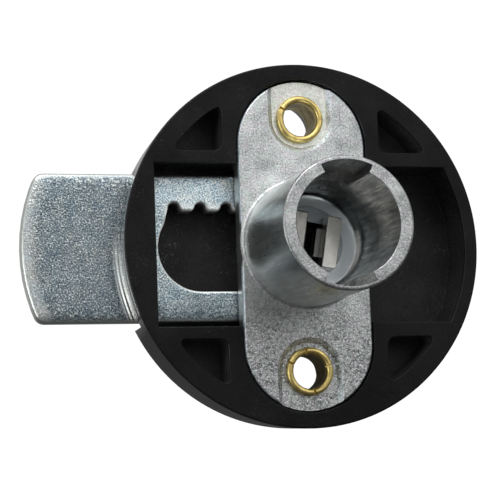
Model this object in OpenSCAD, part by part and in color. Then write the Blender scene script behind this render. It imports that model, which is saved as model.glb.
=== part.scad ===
// Round deadbolt lock for a door or drawer front.
// Frame: the origin is on the tube's axis at the closed front of the case,
// +Z points out of the tube, and the deadbolt is thrown towards -X.

/* [Case] */
// Diameter of the case at its door side
case_d = 52; // [50:1:60]
// Height of the case from its front to its door side
case_h = 12; // [11.6:0.1:16]
// Radius that the side wall loses between the door side and the front
case_draft = 0.4; // [0.1:0.1:1]
// Rounding of the front edge
front_round = 3; // [1:0.5:3.5]
// Chamfer of the rim at the door side
rim_chamfer = 0.3; // [0.1:0.1:0.6]
// Wall between the end of the bolt channel and the outside
rim_wall = 1.9; // [1.6:0.1:3]
// Wall between a core pocket and the outside
pocket_wall = 2.9; // [2:0.1:4]
// Depth of the core pockets
pocket_depth = 5.6; // [4:0.1:8]
// Corner radius of the core pockets
pocket_corner_r = 1.1; // [0.5:0.1:1.4]
// Ribs between the core pockets and the plate, and between them and the channel
rib_t = 2.1; // [1.4:0.1:2.8]

/* [Bolt channel] */
// Depth of the channel floor below the door side
channel_depth = 7.3; // [6.9:0.1:8.5]
// Gap between the bolt and each side of the channel
channel_gap = 0.7; // [0.3:0.1:1]
// Further gap on each side between the bridge and the plate, above the rails
bay_gap = 0.35; // [0:0.05:0.5]
// Width of the bridge that covers the bolt's exit
bridge_w = 4.5; // [3.5:0.5:5.5]
// Width of the two rails that the bolt slides on
rail_w = 2.6; // [1.5:0.1:3.5]
// Height of the rails above the channel floor
rail_h = 0.4; // [0.2:0.1:0.6]

/* [Deadbolt] */
// Width of the bolt
bolt_w = 21; // [19:0.5:23]
// Thickness of the bolt
bolt_t = 3; // [2.5:0.1:3.2]
// How far the bolt slides
bolt_travel = 14.2; // [10:0.1:14.6]
// How far the retracted bolt stays back from the case's outside
nose_setback = 0.5; // [0.2:0.1:1.5]
// Gap between the retracted bolt and the end of the channel
tail_gap = 0.9; // [0.3:0.1:1.5]
// Rounding of the bolt's long edges and of its nose
bolt_edge_r = 0.6; // [0.3:0.1:1]
// Running gap under the bolt
bolt_gap = 0.05; // [0.03:0.01:0.15]

/* [Plate and tube] */
// Width of the plate
plate_w = 18.6; // [18:0.2:20]
// Wall of the case that is left beyond each end of the plate's seat
plate_end_wall = 2.2; // [1.9:0.1:3]
// Thickness of the plate
plate_t = 3.1; // [2.8:0.1:3.2]
// Gap between the plate and its seat in the case
plate_gap = 0.3; // [0.15:0.05:0.5]
// Outer diameter of the cylinder tube
tube_d = 18; // [17.6:0.1:18.4]
// Length of the tube above the plate
tube_l = 20; // [16:0.5:30]
// Bore of the tube, for the cylinder core
bore_d = 14.4; // [14:0.1:15]
// Height of the bore's floor above the plate
bore_floor_h = 0.6; // [0:0.1:2]
// Ledge that stops the cylinder core above the jaws
core_stop = 0.2; // [0.1:0.05:0.4]
// Bevel between the floor of the bore and its wall
bore_floor_bevel = 0.4; // [0.1:0.1:0.8]
// Fillet at the foot of the tube
tube_fillet = 0.5; // [0.3:0.1:1.2]
// Chamfer at the tube's end
tube_chamfer = 0.35; // [0.1:0.05:0.6]
// Wall that is left outside the two grooves at the tube's end
groove_wall = 0.55; // [0.4:0.05:1]
// Angle that each groove spans
groove_span = 50; // [30:1:60]
// Length of the grooves along the tube
groove_l = 9; // [5:0.5:12]
// Radius of the U-shaped recess round each screw hole, at its floor
u_recess_r = 4.1; // [3.8:0.1:4.6]
// Depth of the U-shaped recesses
u_recess_depth = 0.8; // [0.4:0.1:1.2]
// How far the wall of the U-shaped recesses slopes outwards
u_recess_slope = 0.5; // [0.1:0.1:0.8]
// Distance of the guide ribs under the plate from the middle
guide_y = 8.4; // [8:0.1:8.8]
// Width of the guide ribs under the plate
guide_w = 1.5; // [1:0.1:1.5]

/* [Rivets] */
// Distance of each screw hole from its end of the plate
screw_inset = 5.5; // [5:0.25:6]
// Bore of the tubular rivets, for the screws
rivet_bore_d = 4.9; // [4:0.1:5]
// Wall of the tubular rivets
rivet_wall = 0.5; // [0.4:0.05:0.7]
// Thickness of the rolled lip
lip_t = 0.95; // [0.7:0.05:1.1]
// Diameter of the flange on the front side
rivet_flange_d = 8.2; // [7.4:0.1:8.4]
// Thickness of that flange
rivet_flange_t = 0.6; // [0.4:0.05:1]
// Gap round the shank of each rivet
rivet_gap = 0.05; // [0.02:0.01:0.1]
// Web of the case that each rivet clamps
web_t = 1.7; // [1.2:0.1:2.5]
// Diameter of the hole for a screw head in the front
head_hole_d = 8.8; // [8.6:0.1:9.4]
// Width of a split or nick in a rolled lip
nick_w = 0.35; // [0.2:0.05:0.6]

/* [Drive pinion] */
// Number of teeth
teeth = 9; // [8:1:10]
// Radius at which the teeth roll on the rack of the bolt
pitch_r = 5.5; // [5.3:0.05:5.6]
// How far the teeth stand out past that radius
addendum = 0.55; // [0.4:0.05:0.6]
// How far the gaps go in below that radius
dedendum = 0.6; // [0.5:0.05:0.8]
// Half the width of a tooth at its tip, which is round
tooth_tip_r = 0.45; // [0.3:0.05:0.5]
// Half the width of a tooth at its foot
tooth_foot_w = 0.95; // [0.8:0.05:1.1]
// Gap between the tips of the teeth and the smooth edges of the window
window_gap = 0.15; // [0.1:0.05:0.3]
// Gap between the pitch line and the tips of the rack
rack_tip_gap = 0.25; // [0.2:0.05:0.35]
// Radius of the round root of each rack notch
notch_root_r = 0.8; // [0.6:0.05:0.9]
// Half the width of a rack notch at its mouth
notch_mouth_w = 1.15; // [1:0.05:1.3]
// Diameter of the upper journal, which turns in the plate
journal_d = 10.4; // [10.2:0.1:10.6]
// Diameter of the lower journal, which turns in the case
pivot_d = 5; // [4:0.5:6]
// Length of the lower journal
pivot_l = 2; // [1.5:0.1:2.4]
// Radial running clearance of both journals
running_gap = 0.05; // [0.02:0.01:0.08]
// Size of the jaw block across the slot
jaw_w = 7.2; // [6.4:0.05:7.2]
// Size of the jaw block along the slot
jaw_l = 7.3; // [6.6:0.1:7.4]
// Height of the jaws above the plate
jaw_h = 4.7; // [3:0.1:8]
// Width of the slot between the jaws
slot_w = 2.85; // [2:0.05:3.2]
// Depth of the slot below the top of the jaws
slot_depth = 8; // [5:0.5:9]
// Length of the deep part of the slot, below the foot of the jaws
slot_l = 6.2; // [5:0.2:8]
// Angle of the slot from the plate's long axis
jaw_turn = -10; // [-20:1:20]
// Depth of the small ledge in the slot below the top of the jaws
ledge_depth = 2.4; // [1:0.1:4]

/* [Hidden] */
$fn = 96;
eps = 0.01;
over = 1;

case_r = case_d / 2;
front_r = case_r - case_draft;
channel_r = case_r - rim_wall;
bridge_x = case_r - bridge_w;
pocket_r = case_r - pocket_wall;
channel_w = bolt_w + 2 * channel_gap;
seat_w = plate_w + 2 * plate_gap;
plate_l = case_d - 2 * (plate_end_wall + plate_gap);
screw_pitch = plate_l - 2 * screw_inset;
tube_r = tube_d / 2;
bore_r = bore_d / 2;
chamber_r = bore_r - core_stop;

// Levels along Z
floor_z = case_h - channel_depth;
rail_z = floor_z + rail_h;
bolt_z = rail_z + bolt_gap;
bolt_top = bolt_z + bolt_t;
exit_top = bolt_top + 0.2;
plate_z = case_h - plate_t;
guide_z = bolt_top + 0.15;
bore_z = case_h + bore_floor_h;
tube_top = case_h + tube_l;
u_floor_z = case_h - u_recess_depth;
flange_z = plate_z - web_t - rivet_flange_t;
jaw_top = case_h + jaw_h;
core_z = jaw_top + 0.3;

// Rack and pinion
tooth_pitch = 2 * PI * pitch_r / teeth;
tip_r = pitch_r + addendum;
root_r = pitch_r - dedendum;
rack_tip_y = pitch_r - rack_tip_gap;
notch_centre_y = rack_tip_y + 0.35;
window_r = tip_r + window_gap;
notches = ceil(bolt_travel / tooth_pitch) + 2;
pinion_turn = bolt_travel / pitch_r * 180 / PI;

// Radii of the rivets
rivet_r = rivet_bore_d / 2;
shank_r = rivet_r + rivet_wall;
rivet_hole_r = shank_r + rivet_gap;

// A slab of the channel's width between two places on X
module channel_slab(x0, x1, z0, z1, w = channel_w) {
    translate([x0, -w / 2, z0]) cube([x1 - x0, w, z1 - z0]);
}

// Outline with straight sides and half-round ends, along Y
module stadium(w, l) {
    square([w, l - w], center = true);
    for (side = [-1, 1]) translate([0, side * (l - w) / 2]) circle(d = w);
}

// Solid outside of the case: drafted wall, rounded front edge, chamfered rim
module case_blank() {
    rotate_extrude() {
        square([front_r - front_round, front_round + eps]);
        intersection() {
            translate([front_r - front_round, front_round]) circle(r = front_round);
            square([front_r, front_round + eps]);
        }
        polygon([
            [0, front_round],
            [front_r, front_round],
            [case_r, case_h - rim_chamfer],
            [case_r - rim_chamfer, case_h],
            [0, case_h]
        ]);
    }
}

// The bolt channel: a window on each side of the plate, a round end and rails
module channel_cut() {
    channel_slab(-bridge_x, eps, floor_z, case_h + over);
    channel_slab(-bridge_x, -plate_w / 2, rail_z, case_h + over, channel_w + 2 * bay_gap);
    intersection() {
        channel_slab(0, case_r, floor_z, case_h + over);
        cylinder(r = channel_r, h = case_h + 2 * over);
    }
}

// The exit under the bridge, open right down to the front of the case
module exit_cut() {
    channel_slab(-case_r - over, -bridge_x + eps, -over, exit_top);
}

// The two rails that carry the bolt
module rails() {
    intersection() {
        for (side = [-1, 1])
            translate([-bridge_x + eps, side * (channel_w - rail_w) / 2 - rail_w / 2, floor_z - eps])
                cube([bridge_x + channel_r, rail_w, rail_h + eps]);
        cylinder(r = channel_r + eps, h = case_h);
    }
}

// One core pocket in the quarter given by the signs of X and Y
module pocket(sx, sy) {
    inner_x = seat_w / 2 + rib_t;
    inner_y = channel_w / 2 + rib_t;
    mirror([sx < 0 ? 1 : 0, 0, 0])
        mirror([0, sy < 0 ? 1 : 0, 0])
            translate([0, 0, case_h - pocket_depth])
                linear_extrude(pocket_depth + over)
                    offset(r = pocket_corner_r, $fn = 24)
                        offset(delta = -pocket_corner_r)
                            intersection() {
                                translate([inner_x, inner_y]) square(case_r);
                                circle(r = pocket_r, $fn = 72);
                            }
}

module case() {
    color([0.09, 0.09, 0.1])
        difference() {
            union() {
                difference() {
                    case_blank();
                    channel_cut();
                    exit_cut();
                }
                rails();
            }
            // Seat of the plate
            translate([0, 0, plate_z])
                linear_extrude(plate_t + over) stadium(seat_w, plate_l + 2 * plate_gap);
            // Core pockets
            for (sx = [-1, 1], sy = [-1, 1]) pocket(sx, sy);
            // Screw-head holes and rivet holes
            for (side = [-1, 1]) translate([0, side * screw_pitch / 2, 0]) {
                translate([0, 0, -over]) cylinder(d = head_hole_d, h = flange_z - 0.1 + over);
                cylinder(r = rivet_flange_d / 2 + rivet_gap, h = plate_z - web_t);
                cylinder(r = rivet_hole_r, h = case_h);
            }
            // Bearing of the pinion
            translate([0, 0, floor_z - pivot_l - 0.2])
                cylinder(r = pivot_d / 2 + running_gap, h = pivot_l + over);
        }
}

// Concave fillet round the foot of the tube
module foot_fillet() {
    translate([0, 0, case_h])
        rotate_extrude()
            difference() {
                translate([tube_r - eps, -eps]) square(tube_fillet + eps);
                translate([tube_r + tube_fillet, tube_fillet]) circle(r = tube_fillet, $fn = 48);
            }
}

// Tube with its end chamfer, not yet bored
module tube_blank() {
    translate([0, 0, plate_z]) cylinder(r = tube_r, h = tube_top - tube_chamfer - plate_z);
    translate([0, 0, tube_top - tube_chamfer])
        cylinder(r1 = tube_r, r2 = tube_r - tube_chamfer, h = tube_chamfer);
}

// Two opposite grooves in the bore at the tube's end
module end_grooves() {
    groove_r = tube_r - groove_wall;
    translate([0, 0, tube_top - groove_l])
        linear_extrude(groove_l + over)
            intersection() {
                circle(r = groove_r);
                for (side = [-1, 1])
                    polygon([
                        [0, 0],
                        [-tube_r * tan(groove_span / 2), side * tube_r],
                        [tube_r * tan(groove_span / 2), side * tube_r]
                    ]);
            }
}

// Shallow U with a sloped wall round a screw hole, open to the end of the plate
module u_recess() {
    rise = u_recess_depth + over;
    top_r = u_recess_r + u_recess_slope * rise / u_recess_depth;
    translate([0, 0, u_floor_z]) {
        cylinder(r1 = u_recess_r, r2 = top_r, h = rise);
        rotate([-90, 0, 0])
            linear_extrude(plate_l / 2)
                polygon([[-u_recess_r, 0], [u_recess_r, 0], [top_r, -rise], [-top_r, -rise]]);
    }
}

module cylinder_plate() {
    color([0.74, 0.75, 0.75])
        difference() {
            union() {
                translate([0, 0, plate_z]) linear_extrude(plate_t) stadium(plate_w, plate_l);
                tube_blank();
                foot_fillet();
                for (side = [-1, 1])
                    translate([-plate_w / 2 + over, side * guide_y - guide_w / 2, guide_z])
                        cube([plate_w - 2 * over, guide_w, plate_z - guide_z + eps]);
            }
            translate([0, 0, core_z]) cylinder(r = bore_r, h = tube_top - core_z + over);
            translate([0, 0, bore_z])
                cylinder(r1 = chamber_r - bore_floor_bevel, r2 = chamber_r, h = bore_floor_bevel);
            translate([0, 0, bore_z + bore_floor_bevel - eps])
                cylinder(r = chamber_r, h = core_z - bore_z - bore_floor_bevel + over);
            translate([0, 0, plate_z - over])
                cylinder(r = journal_d / 2 + running_gap, h = bore_z - plate_z + 2 * over);
            end_grooves();
            for (side = [-1, 1]) {
                translate([0, side * screw_pitch / 2, plate_z - over])
                    cylinder(r = rivet_hole_r, h = plate_t + 2 * over);
                mirror([0, side < 0 ? 1 : 0, 0]) translate([0, screw_pitch / 2, 0]) u_recess();
            }
        }
}

// Tubular rivet: front flange, shank, rolled lip; nicks are angles on the lip
module rivet(nicks) {
    color([0.79, 0.62, 0.3])
        difference() {
            union() {
                translate([0, 0, flange_z]) cylinder(d = rivet_flange_d, h = rivet_flange_t);
                translate([0, 0, flange_z]) cylinder(r = shank_r, h = u_floor_z + lip_t / 2 - flange_z);
                translate([0, 0, u_floor_z + lip_t / 2])
                    rotate_extrude()
                        translate([rivet_r + lip_t / 2, 0]) circle(d = lip_t, $fn = 32);
            }
            translate([0, 0, flange_z - over]) cylinder(r = rivet_r, h = case_h);
            for (angle = nicks)
                rotate(angle)
                    translate([rivet_r - over, -nick_w / 2, u_floor_z + lip_t / 4])
                        cube([lip_t + 2 * over, nick_w, lip_t]);
        }
}

module upper_rivet() {
    translate([0, screw_pitch / 2, 0]) rivet([151]);
}

module lower_rivet() {
    translate([0, -screw_pitch / 2, 0]) rivet([157, 101, 15, -80]);
}

// Bar along X with rounded long edges
module bolt_bar(x0, x1) {
    translate([x0, 0, 0])
        rotate([90, 0, 90])
            linear_extrude(x1 - x0)
                translate([0, bolt_z + bolt_t / 2]) {
                    square([bolt_w - 2 * bolt_edge_r, bolt_t], center = true);
                    square([bolt_w, bolt_t - 2 * bolt_edge_r], center = true);
                    for (sx = [-1, 1], sy = [-1, 1])
                        translate([sx * (bolt_w / 2 - bolt_edge_r), sy * (bolt_t / 2 - bolt_edge_r)])
                            circle(r = bolt_edge_r, $fn = 32);
                }
}

// Disc with a rounded rim, which trims an end of the bolt to an arc
module bolt_disc(r) {
    translate([-bolt_travel, 0, bolt_z]) rotate_extrude($fn = 180) {
        square([r - bolt_edge_r, bolt_t]);
        translate([0, bolt_edge_r]) square([r, bolt_t - 2 * bolt_edge_r]);
        for (z = [bolt_edge_r, bolt_t - bolt_edge_r])
            translate([r - bolt_edge_r, z]) circle(r = bolt_edge_r, $fn = 32);
    }
}

// One notch of the rack, centred on X = 0
module rack_notch() {
    translate([0, notch_centre_y]) circle(r = notch_root_r, $fn = 32);
    polygon([
        [-notch_mouth_w, rack_tip_y - eps],
        [-notch_root_r, notch_centre_y],
        [notch_root_r, notch_centre_y],
        [notch_mouth_w, rack_tip_y - eps]
    ]);
}

// The window: an arc at each end of the travel, a smooth lower edge, the rack above
module window_outline() {
    first_x = -bolt_travel - tooth_pitch;
    intersection() {
        union() {
            circle(r = window_r);
            translate([-bolt_travel, 0]) circle(r = window_r);
        }
        translate([-case_r, -case_r]) square([case_d, case_r + rack_tip_y]);
    }
    translate([-bolt_travel, -window_r]) square([bolt_travel, window_r + rack_tip_y]);
    for (i = [0 : notches - 1]) translate([first_x + i * tooth_pitch, 0]) rack_notch();
    polygon([
        [first_x - notch_root_r, notch_centre_y],
        [-bolt_travel - window_r, 0],
        [-bolt_travel, 0],
        [-bolt_travel, rack_tip_y],
        [first_x, rack_tip_y]
    ]);
}

module deadbolt() {
    nose_r = case_r - nose_setback;
    tail_r = channel_r - tail_gap;
    color([0.67, 0.71, 0.74])
        difference() {
            intersection() {
                bolt_bar(-bolt_travel - case_r, case_r);
                union() {
                    intersection() {
                        bolt_disc(nose_r);
                        translate([-bolt_travel - case_r, -case_r, 0]) cube([case_r, case_d, case_h]);
                    }
                    intersection() {
                        bolt_disc(tail_r);
                        translate([-bolt_travel - eps, -case_r, 0]) cube([case_r, case_d, case_h]);
                    }
                }
            }
            translate([0, 0, bolt_z - over]) linear_extrude(bolt_t + 2 * over) window_outline();
        }
}

// One tooth of the pinion, pointing along +Y
module tooth() {
    translate([0, tip_r - tooth_tip_r]) circle(r = tooth_tip_r, $fn = 32);
    polygon([
        [-tooth_foot_w, root_r - 0.4],
        [-tooth_tip_r, tip_r - tooth_tip_r],
        [tooth_tip_r, tip_r - tooth_tip_r],
        [tooth_foot_w, root_r - 0.4]
    ]);
}

// Square block with the slot for the tail of the cylinder core
module jaws() {
    base_z = bore_z - eps;
    rotate(jaw_turn)
        translate([-jaw_w / 2, -jaw_l / 2, base_z]) cube([jaw_w, jaw_l, jaw_top - base_z]);
}

module drive_pinion() {
    wheel_z = floor_z + 0.1;
    shroud_t = 0.5;
    shroud_rim = 0.3;
    shroud_z = plate_z - 0.1 - shroud_t;
    color([0.62, 0.62, 0.6])
        difference() {
            union() {
                translate([0, 0, floor_z - pivot_l]) cylinder(d = pivot_d, h = pivot_l + over);
                translate([0, 0, wheel_z]) {
                    cylinder(r = root_r, h = shroud_z - wheel_z + eps);
                    linear_extrude(shroud_z - wheel_z + eps)
                        for (i = [0 : teeth - 1])
                            rotate(pinion_turn + i * 360 / teeth) tooth();
                }
                translate([0, 0, shroud_z]) cylinder(r = tip_r + shroud_rim, h = shroud_t);
                translate([0, 0, shroud_z]) cylinder(d = journal_d, h = bore_z - shroud_z);
                jaws();
            }
            rotate(jaw_turn)
                difference() {
                    union() {
                        translate([-slot_w / 2, -jaw_l, bore_z]) cube([slot_w, 2 * jaw_l, jaw_h]);
                        translate([-slot_w / 2, -slot_l / 2, jaw_top - slot_depth])
                            cube([slot_w, slot_l, slot_depth]);
                    }
                    translate([slot_w / 2 - 0.7, -2, jaw_top - slot_depth - over])
                        cube([0.7 + eps, 4, slot_depth - ledge_depth + over]);
                }
        }
}

case();
cylinder_plate();
upper_rivet();
lower_rivet();
deadbolt();
drive_pinion();
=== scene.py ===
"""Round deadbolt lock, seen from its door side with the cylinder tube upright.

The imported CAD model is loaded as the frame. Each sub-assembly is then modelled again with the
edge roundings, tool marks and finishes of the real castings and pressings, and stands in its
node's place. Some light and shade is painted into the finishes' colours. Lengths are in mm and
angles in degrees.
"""

from __future__ import annotations

import logging
import math
from contextlib import contextmanager
from dataclasses import dataclass
from enum import Enum
from functools import reduce
from typing import Iterator, Sequence, Union

import bpy
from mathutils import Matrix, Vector

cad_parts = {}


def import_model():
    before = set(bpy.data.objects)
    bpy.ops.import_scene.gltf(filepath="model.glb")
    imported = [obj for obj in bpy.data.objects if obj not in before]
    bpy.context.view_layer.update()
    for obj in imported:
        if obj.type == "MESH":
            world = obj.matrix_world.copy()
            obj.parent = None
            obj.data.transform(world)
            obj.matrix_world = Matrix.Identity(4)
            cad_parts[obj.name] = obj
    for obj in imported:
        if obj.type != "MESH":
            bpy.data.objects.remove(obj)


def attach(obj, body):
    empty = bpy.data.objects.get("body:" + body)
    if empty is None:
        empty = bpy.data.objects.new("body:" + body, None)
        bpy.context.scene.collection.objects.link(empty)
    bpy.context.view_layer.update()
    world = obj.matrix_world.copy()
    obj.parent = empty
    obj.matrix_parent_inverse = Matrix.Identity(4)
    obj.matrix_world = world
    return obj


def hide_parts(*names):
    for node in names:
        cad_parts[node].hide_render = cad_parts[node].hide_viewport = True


MM = 0.001
CLEAR = 1.0  # how far a tool stands out of the work
LAP = 0.02  # how far two solids reach into each other where they join
SHARP = 38.0  # edges that turn more than this stay sharp
SCREW_Y = 18.0  # the screw holes' distance from the tube's axis
TRAVEL = 14.2  # how far the bolt slides
SEAM = 2e-6  # after a cut, points closer than this become one, in m
TOUCH = 1e-7  # after a spin, points closer than this become one, in m
THINNEST = 1e-8  # narrower faces than this are taken out, in m
FLAT_WEIGHT = 60  # how much a large face steers the shading at its edges
LOG = logging.getLogger("deadbolt_lock")

Point = tuple[float, float]
Place = tuple[float, float, float]
Pair = tuple[float, float]  # from and to, or off and on
Fade = tuple[float, float, float, float]  # from and to, and what they become
Colour = tuple[float, float, float, float]
Socket = bpy.types.NodeSocket
Value = Union[Socket, float]
Paint = Union[Socket, Colour]


class Body(Enum):
    """The moving bodies of the lock."""

    LOCK = "lock_body"
    BOLT = "bolt"
    DRIVER = "driver"


class Slot(Enum):
    """The record's material slots."""

    CASE = "case_plastic"
    ZINC = "cast_zinc"
    BRASS = "brass"
    PLATED = "zinc_plated_steel"
    DRIVER = "driver_metal"


class Cut(Enum):
    """What a tool body does to the work it meets."""

    AWAY = "DIFFERENCE"
    WELD = "UNION"


# Outlines


def polar(radius: float, angle: float) -> Point:
    """The point at a distance from the origin, in a direction."""
    return radius * math.cos(math.radians(angle)), radius * math.sin(math.radians(angle))


def arc(centre: Point, radius: float, start: float, end: float, steps: int) -> list[Point]:
    """Points along a circular arc.

    Args:
        centre: Centre of the arc.
        radius: Its radius.
        start: First angle.
        end: Last angle.
        steps: Number of chords.

    Returns:
        The points from start to end, both included.
    """
    spokes = [polar(radius, start + (end - start) * i / steps) for i in range(steps + 1)]
    return [(centre[0] + x, centre[1] + y) for x, y in spokes]


def ring(centre: Point, radius: float, steps: int = 96) -> list[Point]:
    """Points of a full circle, without the doubled last one."""
    return arc(centre, radius, 0.0, 360.0, steps)[:-1]


def box_outline(x0: float, x1: float, y0: float, y1: float) -> list[Point]:
    """Corners of an upright rectangle."""
    return [(x0, y0), (x1, y0), (x1, y1), (x0, y1)]


def stadium(width: float, length: float, steps: int = 40) -> list[Point]:
    """Outline with straight sides and half-round ends along Y."""
    reach, radius = (length - width) / 2, width / 2
    return arc((0, reach), radius, 0, 180, steps) + arc((0, -reach), radius, 180, 360, steps)


def turned_points(points: Sequence[Point], degrees: float) -> list[Point]:
    """The points turned about the origin."""
    c, s = polar(1.0, degrees)
    return [(x * c - y * s, x * s + y * c) for x, y in points]


def mirrored(points: Sequence[Point]) -> list[Point]:
    """The points mirrored in the X axis, in the opposite order."""
    return [(x, -y) for x, y in reversed(points)]


def stepped(start: float, *steps: Point) -> list[Point]:
    """Profile of a stepped shaft.

    Args:
        start: Its lowest level.
        *steps: Radius and upper end of each step.

    Returns:
        The profile, from the axis out and back to it.
    """
    profile, level = [(0.0, start)], start
    for radius, end in steps:
        profile += [(radius, level), (radius, end)]
        level = end
    return profile + [(0.0, level)]


def round_corners(
    points: Sequence[Point], radius: float, sharper_than: float = 30.0, steps: int = 5
) -> list[Point]:
    """Rounds the corners of a closed outline.

    Args:
        points: The outline.
        radius: Corner radius, made smaller where the sides are short.
        sharper_than: Corners that turn less than this stay as they are.
        steps: Chords in each rounded corner.

    Returns:
        The outline with its sharp corners replaced by arcs.
    """
    most_of_side = 0.48
    done: list[Point] = []
    for i, corner in enumerate(points):
        here = Vector(corner)
        back = Vector(points[i - 1]) - here
        on = Vector(points[(i + 1) % len(points)]) - here
        if math.degrees(math.pi - back.angle(on)) < sharper_than:
            done.append(corner)
            continue
        half = back.angle(on) / 2
        reach = min(radius / math.tan(half), most_of_side * min(back.length, on.length))
        bend = reach * math.tan(half)
        back, on = back.normalized(), on.normalized()
        middle = here + (back + on).normalized() * math.hypot(reach, bend)
        first = math.atan2(*(here + back * reach - middle).yx)
        last = math.atan2(*(here + on * reach - middle).yx)
        sweep = (last - first + math.pi) % (2 * math.pi) - math.pi
        ends = math.degrees(first), math.degrees(first + sweep)
        done += arc((middle.x, middle.y), bend, *ends, steps)
    return done


def grown(points: Sequence[Point], by: float) -> list[Point]:
    """An outline moved outwards.

    Args:
        points: Closed outline, in either direction.
        by: Distance, negative for inwards.

    Returns:
        As many points, each moved along its corner's bisector.
    """
    bluntest = 0.35
    following = [*points[1:], points[0]]
    area = sum(x0 * y1 - x1 * y0 for (x0, y0), (x1, y1) in zip(points, following))
    side = 1 if area > 0 else -1
    done: list[Point] = []
    for i, corner in enumerate(points):
        here = Vector(corner)
        back = (here - Vector(points[i - 1])).normalized()
        on = (Vector(points[(i + 1) % len(points)]) - here).normalized()
        out_back, out_on = Vector((back.y, -back.x)) * side, Vector((on.y, -on.x)) * side
        middle = (out_back + out_on).normalized()
        moved = here + middle * (by / max(bluntest, middle.dot(out_on)))
        done.append((moved.x, moved.y))
    return done


def brim(
    level: float, radius: float, outwards: bool, upper: bool = True, steps: int = 3,
    width: float | None = None,
) -> list[Point]:
    """Growth and level of an outline round a rounded edge.

    Args:
        level: Level at which the edge ends.
        radius: Height of the rounding.
        outwards: True for a tool, which flares as it leaves the work, False for a solid.
        upper: Whether the edge is the upper one.
        steps: Flats in the rounding.
        width: How far in from the side the rounding reaches, the same as its height if not given.

    Returns:
        (growth, level) pairs from the lower to the upper one.
    """
    reach = (radius if width is None else width) * (1 if outwards else -1)
    rise = 1 if upper else -1
    quarter = arc((0, 0), 1.0, 0, 90, steps)
    pairs = [(reach * (1 - x), level - rise * radius * (1 - y)) for x, y in quarter]
    return pairs if upper else pairs[::-1]


# Bench


def pick(piece: bpy.types.Object) -> None:
    """Makes one piece the only one selected, and the active one.

    Args:
        piece: The piece.
    """
    bpy.ops.object.select_all(action="DESELECT")
    piece.select_set(True)
    bpy.context.view_layer.objects.active = piece


@contextmanager
def editing(piece: bpy.types.Object, select_all: bool = True) -> Iterator[None]:
    """Edit mode on one piece.

    Args:
        piece: The piece to work on.
        select_all: Whether everything is selected first.

    Yields:
        Nothing; edit mode is left afterwards.
    """
    pick(piece)
    bpy.ops.object.mode_set(mode="EDIT")
    if select_all:
        bpy.ops.mesh.select_all(action="SELECT")
    yield
    bpy.ops.object.mode_set(mode="OBJECT")


def drawn(name: str, corners: Sequence[Place], filled: bool) -> bpy.types.Object:
    """A closed line of points, drawn from a circle of as many points.

    Args:
        name: Name of the new piece.
        corners: Places of the points.
        filled: Whether the line is filled with one face.

    Returns:
        The new piece, with its origin at the world's.
    """
    bpy.ops.object.select_all(action="DESELECT")
    bpy.ops.mesh.primitive_circle_add(
        vertices=len(corners), fill_type="NGON" if filled else "NOTHING", location=(0, 0, 0)
    )
    piece = bpy.context.object
    piece.name = piece.data.name = name
    for vertex, corner in zip(piece.data.vertices, corners):
        vertex.co = [c * MM for c in corner]
    return piece


def lofted(name: str, sections: Sequence[tuple[Sequence[Point], float]]) -> bpy.types.Object:
    """A solid pulled up through outlines of equal point counts.

    Args:
        name: Name of the new piece.
        sections: (outline, level) pairs from the lowest level to the highest.

    Returns:
        The closed solid, its faces outwards.
    """
    loops = [[(x, y, level) for x, y in outline] for outline, level in sections]
    piece = drawn(name, loops[0], filled=True)
    for under, loop in zip(loops, loops[1:]):
        with editing(piece, select_all=False):
            bpy.ops.mesh.select_mode(type="FACE")
            bpy.ops.mesh.extrude_region_move(TRANSFORM_OT_translate={"value": (0, 0, MM)})
        top = next(face for face in piece.data.polygons if face.select)
        raised = [piece.data.vertices[i] for i in top.vertices]
        for base, corner in zip(under, loop):
            foot = Vector(base[:2]) * MM
            nearest = min(raised, key=lambda vertex: (vertex.co.xy - foot).length)
            raised.remove(nearest)
            nearest.co = [c * MM for c in corner]
    with editing(piece):
        bpy.ops.mesh.select_mode(type="VERT")
        bpy.ops.mesh.select_all(action="SELECT")
        bpy.ops.mesh.normals_make_consistent(inside=False)
    return piece


def pulled(name: str, outline: Sequence[Point], stages: Sequence[Point]) -> bpy.types.Object:
    """A solid pulled up from an outline, which may grow or shrink on the way.

    Args:
        name: Name of the new piece.
        outline: Closed outline.
        stages: (growth, level) pairs from the lowest level to the highest.

    Returns:
        The closed solid, its faces outwards.
    """
    return lofted(name, [(grown(outline, growth), level) for growth, level in stages])


def straight(z0: float, z1: float) -> list[Point]:
    """Stages of a plain prism between two levels."""
    return [(0.0, z0), (0.0, z1)]


def sunk(z0: float, face: float, radius: float, clear: float = CLEAR) -> list[Point]:
    """Stages of a tool that cuts down to z0 and rounds the edge at the face it enters."""
    return [(0.0, z0), *brim(face, radius, outwards=True), (radius, face + clear)]


def spun(
    name: str, profile: Sequence[Point], centre: Point = (0.0, 0.0), steps: int = 96
) -> bpy.types.Object:
    """A solid of revolution about an axis along Z.

    Args:
        name: Name of the new piece.
        profile: Closed profile of (radius, level) points.
        centre: Place of the axis.
        steps: Number of flats round the axis.

    Returns:
        The closed solid, its faces outwards.
    """
    cx, cy = centre
    piece = drawn(name, [(cx + r, cy, z) for r, z in profile], filled=False)
    with editing(piece):
        bpy.ops.mesh.spin(
            steps=steps, angle=2 * math.pi, center=(cx * MM, cy * MM, 0.0), axis=(0, 0, 1),
            use_auto_merge=True,
        )
        bpy.ops.mesh.select_all(action="SELECT")
        bpy.ops.mesh.remove_doubles(threshold=TOUCH)
        bpy.ops.mesh.dissolve_degenerate(threshold=THINNEST)
        bpy.ops.mesh.select_all(action="SELECT")
        bpy.ops.mesh.normals_make_consistent(inside=False)
    return piece


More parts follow.
